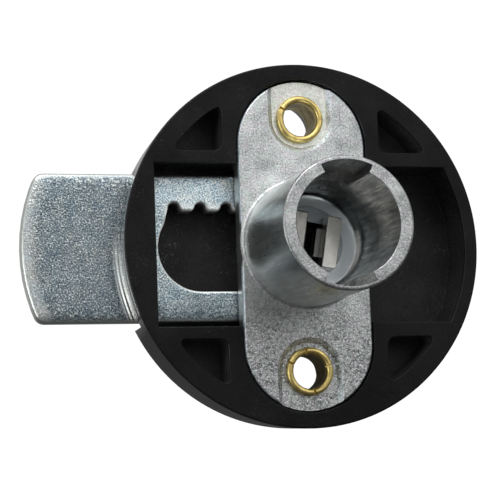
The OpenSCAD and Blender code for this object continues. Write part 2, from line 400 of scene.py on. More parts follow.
def applied(piece: bpy.types.Object, kind: str, **settings: object) -> None:
    """Adds a modifier, sets it and applies it.

    Args:
        piece: The piece to change.
        kind: The modifier's type.
        **settings: Its settings by name.
    """
    pick(piece)
    modifier = piece.modifiers.new(kind.title(), kind)
    for key, value in settings.items():
        setattr(modifier, key, value)
    bpy.ops.object.modifier_apply(modifier=modifier.name)


def work(piece: bpy.types.Object, how: Cut, *tools: bpy.types.Object) -> bpy.types.Object:
    """Cuts or welds a piece with tool bodies, which are used up.

    Args:
        piece: The piece to work on.
        how: What the tools do.
        *tools: Closed solids.

    Returns:
        The same piece.
    """
    for tool in tools:
        applied(piece, "BOOLEAN", operation=how.value, object=tool, solver="EXACT")
        mesh = tool.data
        bpy.data.objects.remove(tool)
        bpy.data.meshes.remove(mesh)
    with editing(piece):
        bpy.ops.mesh.remove_doubles(threshold=SEAM)
        bpy.ops.mesh.select_all(action="SELECT")
        bpy.ops.mesh.normals_make_consistent(inside=False)
    return piece


# Finishes


def plug(tree: bpy.types.NodeTree, socket: Socket, value: Socket | float | Colour) -> None:
    """Links a socket to another one, or sets its value.

    Args:
        tree: The node tree.
        socket: The socket to fill.
        value: What it takes.
    """
    if isinstance(value, Socket):
        tree.links.new(value, socket)
    else:
        socket.default_value = value


def add_node(tree: bpy.types.NodeTree, kind: str, **inputs: object) -> bpy.types.Node:
    """Adds a node and fills its inputs.

    Args:
        tree: The node tree.
        kind: Type of the node, without the prefix that all of them share.
        **inputs: Sockets or values by the inputs' names, with _ for a space.

    Returns:
        The new node.
    """
    node = tree.nodes.new("ShaderNode" + kind)
    for name, value in inputs.items():
        plug(tree, node.inputs[name.replace("_", " ")], value)
    return node


def fresh_tree(block: bpy.types.Material | bpy.types.World) -> bpy.types.NodeTree:
    """Turns on the nodes of a material or a world, and empties its tree.

    Args:
        block: The material or world.

    Returns:
        The empty tree.
    """
    block.use_nodes = True
    block.node_tree.nodes.clear()
    return block.node_tree


def fill_ramp(node: bpy.types.Node, stops: Sequence[tuple[float, Colour]]) -> None:
    """Sets the stops of a colour ramp.

    Args:
        node: The ramp's node.
        stops: Places from 0 to 1 with their colours, in rising order.
    """
    elements = node.color_ramp.elements
    while len(elements) < len(stops):
        elements.new(0.5)
    for element, (place, colour) in zip(elements, stops):
        element.position, element.color = place, colour


@dataclass(frozen=True)
class Grain:
    """Noise on a surface.

    Its fields are the features' size in mm, the octaves, the weight of the finer ones, and how
    many times longer the features are along X, Y and Z.
    """

    size: float
    detail: float = 2.0
    rough: float = 0.5
    stretch: Place = (1, 1, 1)


class Recipe:
    """A material's node tree, written a step at a time.

    A step takes sockets, plain numbers or colours, and returns the socket of its result. The
    sockets x, y and z hold the place on the piece in mm.
    """

    def __init__(self, name: str) -> None:
        """Starts a material with one principled shader.

        Args:
            name: Name of the material.
        """
        self.material = bpy.data.materials.new(name)
        self.tree = fresh_tree(self.material)
        self.shader = self.add("BsdfPrincipled")
        self.add("OutputMaterial", Surface=self.shader.outputs[0])
        self.place = self.add("TexCoord").outputs["Object"]
        parts = self.add("SeparateXYZ", Vector=self.place).outputs
        self.x, self.y, self.z = (self.maths("DIVIDE", part, MM) for part in parts)

    def add(self, kind: str, **inputs: object) -> bpy.types.Node:
        """Adds a node to this tree, as add_node does."""
        return add_node(self.tree, kind, **inputs)

    def maths(self, operation: str, *values: Value) -> Socket:
        """One sum on one or two values.

        Args:
            operation: The sum.
            *values: The values.

        Returns:
            The result.
        """
        node = self.add("Math")
        node.operation = operation
        for socket, value in zip(node.inputs, values):
            plug(self.tree, socket, value)
        return node.outputs[0]

    def times(self, *values: Value) -> Socket:
        """Product of the values."""
        return reduce(lambda a, b: self.maths("MULTIPLY", a, b), values)

    def plus(self, *values: Value) -> Socket:
        """Sum of the values."""
        return reduce(lambda a, b: self.maths("ADD", a, b), values)

    def most(self, *values: Value) -> Socket:
        """Largest of the values."""
        return reduce(lambda a, b: self.maths("MAXIMUM", a, b), values)

    def flip(self, mask: Value) -> Socket:
        """One less the mask."""
        return self.maths("SUBTRACT", 1.0, mask)

    def over(self, value: Value, limit: float) -> Socket:
        """One where the value is over the limit, and nought elsewhere."""
        return self.maths("GREATER_THAN", value, limit)

    def under(self, value: Value, limit: float) -> Socket:
        """One where the value is under the limit, and nought elsewhere."""
        return self.maths("LESS_THAN", value, limit)

    def between(self, value: Value, low: float, high: float) -> Socket:
        """One where the value is between two limits, and nought elsewhere."""
        return self.times(self.over(value, low), self.under(value, high))

    def span(
        self, value: Value, low: float, high: float, to_low: float = 0.0, to_high: float = 1.0
    ) -> Socket:
        """Maps a value from one range to another, clamped.

        Args:
            value: The value.
            low: Start of its range.
            high: End of its range.
            to_low: What the start becomes.
            to_high: What the end becomes.

        Returns:
            The mapped value.
        """
        limits = {"From_Min": low, "From_Max": high, "To_Min": to_low, "To_Max": to_high}
        return self.add("MapRange", Value=value, **limits).outputs[0]

    def choose(self, mask: Value, off: float, on: float) -> Socket:
        """A value that is `off` where the mask is nought and `on` where it is one."""
        return self.span(mask, 0.0, 1.0, off, on)

    def mix(self, share: Value, first: Value, second: Value) -> Socket:
        """Mixes two values by the share of the second."""
        return self.plus(self.times(first, self.flip(share)), self.times(share, second))

    def blend(self, share: Value, first: Paint, second: Paint, how: str = "MIX") -> Socket:
        """Blends two colours.

        Args:
            share: Share of the second colour.
            first: First colour.
            second: Second colour.
            how: The blend type.

        Returns:
            The colour, clamped to what can be shown.
        """
        node = self.add("Mix")
        node.data_type, node.blend_type, node.clamp_result = "RGBA", how, True
        values = {"Factor": share, "A": first, "B": second}
        for socket in node.inputs:
            if socket.enabled and socket.name in values:
                plug(self.tree, socket, values[socket.name])
        return next(socket for socket in node.outputs if socket.enabled)

    def ramp(self, value: Value, places: Sequence[float], *colours: Colour) -> Socket:
        """Turns a value into a colour.

        Args:
            value: The value.
            places: Places of the colours from 0 to 1, in rising order.
            *colours: The colours.

        Returns:
            The colour.
        """
        node = self.add("ValToRGB", Fac=value)
        fill_ramp(node, list(zip(places, colours)))
        return node.outputs[0]

    def shaded(self, colour: Paint, *factors: Value) -> Socket:
        """A colour made darker or lighter by each factor in turn.

        Args:
            colour: The colour.
            *factors: The factors.

        Returns:
            The shaded colour.
        """
        for factor in factors:
            grey = self.add("CombineColor", Red=factor, Green=factor, Blue=factor).outputs[0]
            colour = self.blend(1.0, colour, grey, "MULTIPLY")
        return colour

    def noise(self, grain: Grain) -> Socket:
        """Noise with the features of a grain.

        Args:
            grain: The grain.

        Returns:
            The noise's value.
        """
        scale = [1.0 / factor for factor in grain.stretch]
        place = self.add("Mapping", Vector=self.place, Scale=scale).outputs[0]
        texture = self.add(
            "TexNoise", Vector=place, Scale=1.0 / (grain.size * MM), Detail=grain.detail,
            Roughness=grain.rough,
        )
        return texture.outputs["Fac"]

    def facing_up(self, low: float = 0.55, high: float = 0.9) -> Socket:
        """How far the surface faces along Z, up or down.

        Args:
            low: Upright share of the normal at which the mask is 0.
            high: Upright share at which it is 1.

        Returns:
            The mask.
        """
        normal = self.add("NewGeometry").outputs["Normal"]
        upright = self.add("SeparateXYZ", Vector=normal).outputs["Z"]
        return self.span(self.maths("ABSOLUTE", upright), low, high)

    def radius(self, centre_x: float = 0.0) -> Socket:
        """Distance in mm from an upright axis on the X axis."""
        x = self.maths("SUBTRACT", self.x, centre_x)
        return self.maths("SQRT", self.plus(self.times(x, x), self.times(self.y, self.y)))

    def within(self, radius: float, high: float) -> Socket:
        """One inside an upright cylinder round the Z axis and under a level, else nought."""
        return self.times(self.under(self.radius(), radius), self.under(self.z, high))

    def height(
        self, depth: float, relief: Socket, before: Socket | None = None, strength: Value = 1.0
    ) -> Socket:
        """Raises the surface by a texture.

        Args:
            depth: Height of the relief in mm.
            relief: The relief's value.
            before: Normal of a coarser relief below it.
            strength: Share of the relief.

        Returns:
            The normal.
        """
        under = {} if before is None else {"Normal": before}
        node = self.add("Bump", Distance=depth * MM, Strength=strength, Height=relief, **under)
        return node.outputs[0]

    def finish(self, **inputs: object) -> bpy.types.Material:
        """Fills the shader's inputs.

        Args:
            **inputs: Sockets or values by the inputs' names, with _ for a space.

        Returns:
            The finished material.
        """
        for name, value in inputs.items():
            plug(self.tree, self.shader.inputs[name.replace("_", " ")], value)
        return self.material


@dataclass(frozen=True)
class MouldedBlack:
    """Black moulded plastic: matt and a little dusty on faces along Z, smoother on walls, with
    painted light in the recesses.
    """

    dark: Colour = (0.005, 0.005, 0.0052, 1)
    light: Colour = (0.012, 0.012, 0.0125, 1)
    # Painted light: the recesses, channel and pockets are coloured lighter than the face.
    sunk_dark: Colour = (0.012, 0.012, 0.0125, 1)
    sunk_light: Colour = (0.027, 0.027, 0.028, 1)
    dust: Colour = (0.16, 0.165, 0.17, 1)
    fine: Grain = Grain(0.22, 3.0, 0.6)
    cloud: Grain = Grain(5.0)
    speck: Grain = Grain(0.35, 3.0, 0.8)
    patch: Grain = Grain(3.5, 3.0, 0.6)
    cloud_share: float = 0.45
    tones: Pair = (0.38, 0.62)
    speck_fade: Pair = (0.56, 0.68)
    patch_fade: Fade = (0.5, 0.62, 0.08, 0.8)
    dust_by_x: Fade = (0, 8, 1.0, 0.4)
    dust_by_depth: Pair = (0.25, 1.0)
    # Painted light: the pockets are made lighter still.
    pocket_painted_light: Fade = (12.4, 12.9, 1.0, 2.4)
    face_z: float = 11.5
    wall_r: float = 25.0
    matt: float = 0.52
    smooth: float = 0.24
    grain_depth: float = 0.010
    grain_share: Pair = (0.15, 1.0)
    specular: float = 0.12
    gloss: float = 0.12

    def material(self) -> bpy.types.Material:
        """Builds the node tree.

        Returns:
            The finished material.
        """
        r = Recipe("moulded_black_plastic")
        flat = r.facing_up()
        sunk = r.within(self.wall_r, self.face_z)
        fine = r.noise(self.fine)
        tone = r.mix(self.cloud_share, fine, r.noise(self.cloud))
        face = r.ramp(tone, self.tones, self.dark, self.light)
        # Painted light: recesses lighter than the face, and the pockets lighter still.
        recess = r.ramp(tone, self.tones, self.sunk_dark, self.sunk_light)
        recess = r.shaded(recess, r.span(r.maths("ABSOLUTE", r.y), *self.pocket_painted_light))
        dusty = r.times(
            r.span(r.noise(self.speck), *self.speck_fade),
            r.span(r.noise(self.patch), *self.patch_fade),
            r.choose(sunk, *self.dust_by_depth), r.span(r.x, *self.dust_by_x), flat,
        )
        return r.finish(
            Base_Color=r.blend(dusty, r.blend(sunk, face, recess), self.dust),
            Roughness=r.choose(flat, self.smooth, self.matt),
            Normal=r.height(self.grain_depth, fine, strength=r.choose(flat, *self.grain_share)),
            Coat_Weight=r.flip(flat),
            Specular_IOR_Level=self.specular,
            Coat_Roughness=self.gloss,
        )


@dataclass(frozen=True)
class CastZinc:
    """Die-cast zinc: a frosted skin on flat faces and drawn, smoother walls, with painted glints,
    light and shade.
    """

    dark: Colour = (0.27, 0.28, 0.285, 1)
    light: Colour = (0.8, 0.81, 0.81, 1)
    # Painted highlight: pure white, for the glints on the plate's lower end and on the chamber's
    # lit side.
    painted_glint: Colour = (1.0, 1.0, 1.0, 1)
    green_tint: Colour = (0.95, 1.0, 0.97, 1)
    violet_tint: Colour = (1.0, 0.97, 1.0, 1)
    cool: Colour = (0.84, 0.93, 1.0, 1)
    # Painted light: the floor of the upper recess is made lighter and warmer.
    recess_painted_light: Colour = (0.97, 0.96, 0.82, 1)
    wall: Colour = (0.93, 0.98, 0.96, 1)
    streak_dark: Colour = (0.3, 0.31, 0.31, 1)
    streak_light: Colour = (0.75, 0.75, 0.73, 1)
    chamber: Colour = (0.66, 0.71, 0.74, 1)
    # Textures and how they are mixed
    fine: Grain = Grain(0.24, 2.0, 0.6)
    brushed: Grain = Grain(0.28, stretch=(1, 3, 1))
    cloud: Grain = Grain(3.2, 3.0, 0.6)
    mottle: Grain = Grain(0.6, 4.0, 0.75)
    lines: Grain = Grain(0.6, 3.0, 0.6, (1, 1, 10))
    blotch: Grain = Grain(2.5, stretch=(1, 1, 2))
    # Painted highlight: specks of this grain become white glints.
    painted_sparkle: Grain = Grain(0.26, 2.0, 0.6)
    tint: Grain = Grain(1.1, 2.0, 0.6)
    tones: Pair = (0.36, 0.62)
    streak_tones: Pair = (0.4, 0.6)
    tint_tones: Pair = (0.4, 0.6)
    painted_sparkle_fade: Pair = (0.56, 0.61)
    mottle_fade: Fade = (0.4, 0.6, 0.15, 0.85)
    mottle_share: float = 0.75
    cloud_share: float = 0.4
    blotch_share: float = 0.45
    # Zones
    bore_r: float = 8.6
    foot_r: float = 9.8
    end_z: float = 31.85
    skin_z: Pair = (11.1, 12.45)
    end_skin_z: Pair = (31.65, 32.85)
    slope_z: Pair = (11.25, 12.6)
    recess_z: Pair = (11.1, 11.3)
    ledge_z: Pair = (22.5, 23.5)
    lower_y: Fade = (-14, -6, 1.0, 0.0)
    chamber_z: Fade = (15.6, 17.0, 1.0, 0.0)
    lit_x: Pair = (1, 5)
    lit_y: Fade = (-1, 5, 1.0, 0.0)
    lit_z: Fade = (14.6, 17.0, 1.0, 0.0)
    # Shading of the zones, most of it painted light and shade
    bore_by_y: Fade = (-8.6, 8.6, 1.45, 0.5)
    bore_by_z: Fade = (22.7, 23.3, 1.0, 1.3)
    ledge_shade: float = 0.3
    floor_by_x: Fade = (-2, 6, 0.95, 1.35)
    floor_by_y: Fade = (1, 6, 1.0, 0.6)
    floor_slopes: Pair = (0.2, 0.8)
    ring_by_x: Fade = (1, 6, 0.5, 1.4)
    ring_share: float = 0.5
    lit_share: float = 0.6
    wall_by_streak: Fade = (0.4, 0.6, 0.8, 1.0)
    wall_by_y: Fade = (-7.5, -1, 0.9, 1.0)
    end_by_z: Fade = (30.85, 31.85, 1.0, 0.84)
    slope_painted_light: float = 1.6
    lower_painted_shade: float = 0.8
    recess_share: float = 0.36
    # Relief and gloss, off and on the flat faces where there are two
    fine_depth: float = 0.055
    fine_share: Pair = (0.03, 0.8)
    mottle_depth: float = 0.143
    line_depth: float = 0.02
    brushed_share: Pair = (0.0, 0.6)
    lines_share: Pair = (0.5, 0.0)
    lit_tilt: float = 7.5
    lit_tilt_z: Fade = (12.6, 17.0, 1.0, 0.0)
    frosted: float = 0.42
    drawn: Fade = (0.35, 0.65, 0.35, 0.27)
    bore_gloss: float = -0.02
    chamber_gloss: float = 0.06
    slope_gloss: float = 0.25

    def walls(
        self, r: Recipe, streak: Socket, bore: Socket, chamber: Socket, lit: Socket
    ) -> Socket:
        """Colours the walls, with painted light and shade.

        Args:
            r: The recipe.
            streak: Value of the drawn streaks.
            bore: Mask of the bore.
            chamber: Mask of the chamber below it.
            lit: Mask of the chamber's side that faces the light.

        Returns:
            The colour of the tube's outside, the bore and the chamber.
        """
        # Painted light and shade: the bore lighter low down and in the grooves and darker at its
        # top; the groove's ledge darker on the near side.
        ledge = r.times(r.facing_up(), r.between(r.z, *self.ledge_z), r.under(r.y, 0.0))
        inside = r.shaded(
            r.ramp(streak, self.streak_tones, self.streak_dark, self.streak_light),
            r.span(r.y, *self.bore_by_y), r.span(r.z, *self.bore_by_z),
            r.choose(ledge, 1.0, self.ledge_shade),
        )
        # Painted light and shade: the chamber's floor lighter to the right and darker at the top,
        # its lower wall lighter to the right.
        floor = r.shaded(self.chamber, r.span(r.x, *self.floor_by_x))
        ring = r.blend(self.ring_share, inside, self.chamber)
        ring = r.shaded(ring, r.span(r.x, *self.ring_by_x))
        # Painted highlight: the chamber's side that faces the light blends towards white.
        ring = r.blend(r.times(lit, self.lit_share), ring, self.painted_glint)
        floor = r.blend(r.facing_up(*self.floor_slopes), ring, floor)
        floor = r.shaded(floor, r.span(r.y, *self.floor_by_y))
        # Painted shade: the outside is darker on the near side; the streaks are the drawn marks.
        outside = r.shaded(
            self.wall, r.span(streak, *self.wall_by_streak), r.span(r.y, *self.wall_by_y)
        )
        return r.blend(chamber, r.blend(bore, outside, inside), floor)

    def faces(self, r: Recipe, tone: Socket, slope: Socket, lower: Socket) -> Socket:
        """Colours the flat faces, with painted light, shade and glints.

        Args:
            r: The recipe.
            tone: Value of the grain.
            slope: Mask of the recesses' slopes.
            lower: Mask of the plate's lower, coarser end.

        Returns:
            The colour of the plate, its recesses and the tube's end.
        """
        # Painted light: the recesses' slopes are made lighter, with a cool tint.
        faces = r.shaded(
            r.ramp(tone, self.tones, self.dark, self.light), r.span(r.z, *self.end_by_z),
            r.choose(slope, 1.0, self.slope_painted_light),
        )
        faces = r.blend(slope, faces, r.blend(1.0, faces, self.cool, "MULTIPLY"))
        # Painted shade: the plate's lower end is darker.
        faces = r.shaded(faces, r.choose(lower, 1.0, self.lower_painted_shade))
        # Painted light: the upper recess's floor blends lighter and warmer.
        recess = r.times(r.between(r.z, *self.recess_z), r.over(r.y, 0.0))
        faces = r.blend(r.times(recess, self.recess_share), faces, self.recess_painted_light)
        # Painted highlight: white glints specked over the plate's lower end.
        painted_sparkle = r.times(r.span(r.noise(self.painted_sparkle), *self.painted_sparkle_fade), lower)
        faces = r.blend(painted_sparkle, faces, self.painted_glint)
        tint = r.ramp(r.noise(self.tint), self.tint_tones, self.green_tint, self.violet_tint)
        return r.blend(1.0, faces, tint, "MULTIPLY")

    def material(self) -> bpy.types.Material:
        """Builds the node tree.

        Returns:
            The finished material.
        """
        r = Recipe("die_cast_zinc")
        up = r.facing_up()
        inside = r.under(r.radius(), self.bore_r)
        bore = r.within(self.bore_r, self.end_z)
        chamber = r.times(inside, r.span(r.z, *self.chamber_z))
        lit = r.times(
            inside, r.span(r.x, *self.lit_x), r.span(r.z, *self.lit_z), r.span(r.y, *self.lit_y)
        )
        skin = r.most(up, r.between(r.z, *self.skin_z), r.between(r.z, *self.end_skin_z))
        flat = r.times(skin, r.flip(bore))
        slope = r.times(
            r.flip(up), r.between(r.z, *self.slope_z), r.over(r.radius(), self.foot_r)
        )
        lower = r.span(r.y, *self.lower_y)
        fine, mottle, lines = (r.noise(grain) for grain in (self.fine, self.mottle, self.lines))
        streak = r.mix(self.blotch_share, lines, r.noise(self.blotch))
        spots = r.span(mottle, *self.mottle_fade)
        spots = r.mix(r.times(lower, self.mottle_share), fine, spots)
        tone = r.mix(self.cloud_share, spots, r.noise(self.cloud))
        normal = r.height(self.fine_depth, fine, strength=r.choose(flat, *self.fine_share))
        for depth, relief, share in (
            (self.mottle_depth, mottle, r.times(flat, lower)),
            (self.line_depth, r.noise(self.brushed), r.choose(flat, *self.brushed_share)),
            (self.line_depth, lines, r.choose(flat, *self.lines_share)),
            (self.lit_tilt, r.span(r.z, *self.lit_tilt_z), lit),
        ):
            normal = r.height(depth, relief, normal, share)
        walls = self.walls(r, streak, bore, chamber, lit)
        return r.finish(
            Base_Color=r.blend(flat, walls, self.faces(r, tone, slope, lower)),
            Roughness=r.plus(
                r.mix(flat, r.span(lines, *self.drawn), self.frosted),
                r.choose(bore, 0.0, self.bore_gloss),
                r.most(r.choose(chamber, 0.0, self.chamber_gloss),
                       r.choose(slope, 0.0, self.slope_gloss)),
            ),
            Normal=normal,
            Metallic=1.0,
        )


@dataclass(frozen=True)
class ZincPlating:
    """Zinc plating on pressed steel: a dense blue-grey mottle, with painted highlights where it
    slides and rubs and on its edges, and painted light inside the case.
    """

    dark: Colour = (0.08, 0.11, 0.135, 1)
    middle: Colour = (0.27, 0.33, 0.352, 1)
    light: Colour = (1.0, 1.0, 0.95, 1)
    # Painted highlight on the rounded edges and sides, with some wear of the plating.
    edge_wear_and_highlight: Colour = (0.78, 0.82, 0.78, 1)
    # Painted highlight at the exit, the nose and the rack, where the plating also rubs.
    rub_and_highlight: Colour = (0.95, 0.98, 0.95, 1)
    # Painted light on the window's walls.
    painted_lit_wall: Colour = (1.0, 1.0, 0.98, 1)
    cold_tint: Colour = (0.95, 0.99, 1.03, 1)
    warm_tint: Colour = (1.02, 1.0, 0.99, 1)
    fine: Grain = Grain(0.24, 3.0, 0.7)
    coarse: Grain = Grain(1.6, 3.0, 0.6)
    tint: Grain = Grain(2.6, 1.0)
    coarse_share: float = 0.15
    tones: tuple[float, ...] = (0.4, 0.53, 0.64)
    tint_tones: Pair = (0.35, 0.65)
    flat_slopes: Pair = (0.8, 0.99)
    edge_share: float = 0.1
    travel: float = TRAVEL
    # Painted highlights at the exit, at the nose and along the rack, where it also rubs; dark
    # lines at the exit; painted light in the case
    band_from_r: float = 24.9
    band_r: Fade = (26.7, 27.2, 1.0, 0.0)
    band_y: Fade = (-7, 3, 1.0, 0.0)
    nose_to_x: float = -25.9
    nose_r: Fade = (23.3, 24.8, 0.0, 0.75)
    nose_y: Fade = (-9, 9, 1.0, 0.35)
    rack_x: Pair = (-19.8, -18.6)
    rack_from_y: float = 4.6
    rack_y: Fade = (5.6, 6.7, 0.75, 0.0)
    # Two thin lines darkened across the band at the exit.
    dark_line_r: Pair = (26.25, 26.75)
    dark_line_w: float = 0.12
    dark_line_shade: float = 0.05
    inside_x: float = -21.5
    # Painted light: the plating is lighter inside the case and on the strip behind the bridge.
    inside_painted_light: Fade = (21.5, 22.5, 1.75, 1.0)
    strip_y: Pair = (5.5, 7.5)
    strip_painted_light: float = 1.45
    # Punched walls of the window: painted light, with painted shade towards the bottom and at the
    # notches
    cut_x: Pair = (-21.5, 14.2)
    cut_y: Pair = (-7, 7)
    cut_by_z: Fade = (6.5, 7.7, 0.3, 1.0)
    cut_by_y: Fade = (5.4, 6.1, 1.0, 0.5)
    # Relief and gloss
    tilt_depths: Pair = (1.6, 3.6)
    tilt_x: Pair = (-30, -22)
    tilt_y: Fade = (-10, 8, 1.0, 0.0)
    fine_depth: float = 0.08
    fine_share: Pair = (0.25, 1.0)
    gloss: Fade = (0.3, 0.7, 0.24, 0.42)
    cut_gloss: float = 0.25

    def highlight_and_rub_places(self, r: Recipe) -> tuple[Socket, Socket]:
        """Finds where highlights are painted, at the places where the plating also rubs.

        Args:
            r: The recipe.

        Returns:
            The mask of the band at the exit, and that of nose, rack and band together.
        """
        band = r.times(
            r.span(r.radius(), *self.band_r), r.span(r.y, *self.band_y),
            r.over(r.radius(), self.band_from_r),
        )
        nose = r.times(
            r.span(r.radius(-self.travel), *self.nose_r), r.span(r.y, *self.nose_y),
            r.under(r.x, self.nose_to_x),
        )
        rack = r.times(
            r.span(r.x, *self.rack_x), r.span(r.y, *self.rack_y), r.over(r.y, self.rack_from_y)
        )
        return band, r.most(nose, rack, band)

    def material(self) -> bpy.types.Material:
        """Builds the node tree.

        Returns:
            The finished material.
        """
        r = Recipe("zinc_plated_steel")
        flat = r.facing_up(*self.flat_slopes)
        fine = r.noise(self.fine)
        tone = r.mix(self.coarse_share, fine, r.noise(self.coarse))
        band, rub_and_highlight = self.highlight_and_rub_places(r)
        # Painted light inside the case and on the strip behind the bridge.
        strip = r.times(r.span(r.y, *self.strip_y), r.over(r.x, self.inside_x))
        face = r.shaded(
            r.ramp(tone, self.tones, self.dark, self.middle, self.light),
            r.span(r.radius(), *self.inside_painted_light), r.choose(strip, 1.0, self.strip_painted_light),
        )
        # Painted highlight: lighter bands at the exit, the nose and the rack.
        face = r.blend(rub_and_highlight, face, self.rub_and_highlight)
        # Two thin lines darkened across the band at the exit.
        for line in self.dark_line_r:
            away = r.maths("ABSOLUTE", r.maths("SUBTRACT", r.radius(), line))
            dark_line = r.times(r.under(away, self.dark_line_w), band)
            face = r.shaded(face, r.choose(dark_line, 1.0, self.dark_line_shade))
        tint = r.ramp(r.noise(self.tint), self.tint_tones, self.cold_tint, self.warm_tint)
        face = r.blend(1.0, face, tint, "MULTIPLY")
        cut = r.times(r.between(r.x, *self.cut_x), r.between(r.y, *self.cut_y), r.flip(flat))
        # Painted light on the window's walls, with painted shade towards the bottom and at the
        # notches.
        painted_lit_wall = r.shaded(
            self.painted_lit_wall, r.span(r.z, *self.cut_by_z), r.span(r.y, *self.cut_by_y)
        )
        # Painted highlight: the edges and sides take the lighter colour, with some wear.
        plated = r.most(r.choose(flat, self.edge_share, 1.0), cut)
        across, along = self.tilt_depths
        normal = r.height(across, r.span(r.x, *self.tilt_x), strength=band)
        normal = r.height(along, r.span(r.y, *self.tilt_y), normal, band)
        return r.finish(
            Base_Color=r.blend(plated, self.edge_wear_and_highlight, r.blend(cut, face, painted_lit_wall)),
            Roughness=r.plus(r.span(fine, *self.gloss), r.choose(cut, 0.0, self.cut_gloss)),
            Normal=r.height(self.fine_depth, fine, normal, r.choose(flat, *self.fine_share)),
            Metallic=1.0,
        )


@dataclass(frozen=True)
class RolledBrass:
    """Bright brass that was rolled over, with faint rings and painted shade inside."""

    bright: Colour = (0.83, 0.66, 0.25, 1)
    dull: Colour = (0.52, 0.4, 0.14, 1)
    tarnish: Grain = Grain(1.1, 3.0, 0.6)
    tones: Pair = (0.3, 0.6)
    # Painted shade: darker down inside the rivet's bore.
    inside_painted_shade: Fade = (10.4, 11.6, 0.4, 1.0)
    gloss: Fade = (0.3, 0.7, 0.44, 0.3)
    rings: Grain = Grain(0.22, stretch=(2, 2, 1))
    ring_depth: float = 0.02
    ring_share: float = 0.5

    def material(self) -> bpy.types.Material:
        """Builds the node tree.

        Returns:
            The finished material.
        """
        r = Recipe("rolled_brass")
        tarnish = r.noise(self.tarnish)
        colour = r.ramp(tarnish, self.tones, self.dull, self.bright)
        # Painted shade: the brass is darker down inside the bore.
        return r.finish(
            Base_Color=r.shaded(colour, r.span(r.z, *self.inside_painted_shade)),
            Roughness=r.span(tarnish, *self.gloss),
            Normal=r.height(self.ring_depth, r.noise(self.rings), strength=self.ring_share),
            Metallic=1.0,
        )


@dataclass(frozen=True)
class DullCasting:
    """Dull zinc casting of the driver, slightly warm, with fine pits; painted light and shade on
    the jaws, and painted shade in the slot.
    """

    dark: Colour = (0.68, 0.67, 0.63, 1)
    light: Colour = (0.86, 0.85, 0.81, 1)
    disc: Colour = (0.55, 0.6, 0.64, 1)
    # Painted shade: the slot is near black and the zone of the ledge is dark grey.
    slot: Colour = (0.05, 0.05, 0.048, 1)
    ledge: Colour = (0.3, 0.3, 0.29, 1)
    fine: Grain = Grain(0.3, 3.0, 0.6)
    cloud: Grain = Grain(1.8)
    cloud_share: float = 0.6
    tones: Pair = (0.35, 0.65)
    # Painted shade on the left jaw, painted light on the right one.
    jaws_painted_light_and_shade: Fade = (-2, 2, 0.55, 1.19)
    slot_z: Pair = (-1.0, 12.4)
    disc_z: Pair = (12.4, 12.8)
    ledge_z: Pair = (12.8, 14.6)
    gloss: Fade = (0.3, 0.7, 0.28, 0.42)
    pit_depth: float = 0.025
    pit_share: float = 0.7

    def material(self) -> bpy.types.Material:
        """Builds the node tree.

        Returns:
            The finished material.
        """
        r = Recipe("dull_driver_casting")
        fine = r.noise(self.fine)
        tone = r.mix(self.cloud_share, fine, r.noise(self.cloud))
        colour = r.ramp(tone, self.tones, self.dark, self.light)
        # Painted shade on the left jaw, painted light on the right one.
        colour = r.shaded(colour, r.span(r.x, *self.jaws_painted_light_and_shade))
        # Painted shade: the slot near black and the ledge zone dark grey; the disc keeps its own
        # bluish colour.
        for levels, zone in (
            (self.ledge_z, self.ledge), (self.disc_z, self.disc), (self.slot_z, self.slot)
        ):
            colour = r.blend(r.between(r.z, *levels), colour, zone)
        return r.finish(
            Base_Color=colour,
            Roughness=r.span(fine, *self.gloss),
            Normal=r.height(self.pit_depth, fine, strength=self.pit_share),
            Metallic=1.0,
        )


def dressed(
    piece: bpy.types.Object, finish: bpy.types.Material, body: Body, node: str
) -> bpy.types.Object:
    """Smooths a piece, gives it its finish, and puts it in its node's place.

    Args:
        piece: The modelled piece.
        finish: Its material.
        body: The body it moves with.
        node: The CAD node it stands for.

    Returns:
        The same piece.
    """
    pick(piece)
    bpy.ops.object.shade_smooth_by_angle(angle=math.radians(SHARP))
    applied(piece, "WEIGHTED_NORMAL", keep_sharp=True, weight=FLAT_WEIGHT)
    piece.data.materials.clear()
    piece.data.materials.append(finish)
    piece.data.polygons.foreach_set("material_index", [0] * len(piece.data.polygons))
    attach(piece, body.value)
    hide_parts(node)
    triangles = sum(len(face.vertices) - 2 for face in piece.data.polygons)
    LOG.info("%s: rides on %s, replaces %s, %d triangles", piece.name, body.value, node, triangles)
    return piece


# Sub-assemblies


